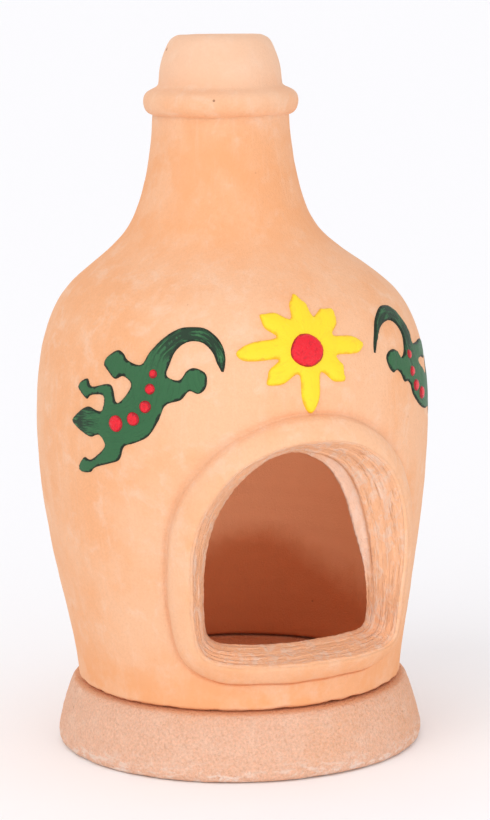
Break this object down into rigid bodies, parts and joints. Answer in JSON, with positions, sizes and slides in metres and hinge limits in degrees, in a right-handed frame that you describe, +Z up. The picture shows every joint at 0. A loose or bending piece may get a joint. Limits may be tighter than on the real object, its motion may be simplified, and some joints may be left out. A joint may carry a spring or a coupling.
{
  "type": "table-top chiminea burner",
  "caption": "Small unglazed clay chiminea with an arched mouth, ringed neck, open flue and raised painted geckos and sun, standing loose on a thick round base.",
  "frame": {"origin": "centre of the base's underside, on the surface it stands on", "axes": "+Z up along the base's axis, -Y out of the arched mouth, +X to the right of someone facing the mouth"},
  "size_m": [0.0998, 0.1033, 0.18],
  "materials": {
    "terracotta": "matte unglazed",
    "sandy_clay": "matte, coarse and sandy",
    "yellow_paint": "satin brushed paint",
    "green_paint": "satin brushed paint",
    "red_paint": "glossy raised paint"
  },
  "bodies": {
    "base": {"base_slab": "sandy_clay"},
    "pot": {"pot_shell": "terracotta", "neck_collar": "terracotta", "mouth_band": "terracotta", "sun_rays": "yellow_paint", "sun_centre": "red_paint", "gecko_left": "green_paint", "gecko_right": "green_paint", "gecko_left_spot_1": "red_paint", "gecko_left_spot_2": "red_paint", "gecko_left_spot_3": "red_paint", "gecko_left_spot_4": "red_paint", "gecko_left_spot_5": "red_paint", "gecko_right_spot_1": "red_paint", "gecko_right_spot_2": "red_paint", "gecko_right_spot_3": "red_paint", "gecko_right_spot_4": "red_paint", "gecko_right_spot_5": "red_paint"}
  },
  "joints": [
    {"name": "pot_lift", "type": "slide", "parent": "base", "child": "pot", "axis": [0, 0, 1], "range_m": [0, 0.06]}
  ]
}
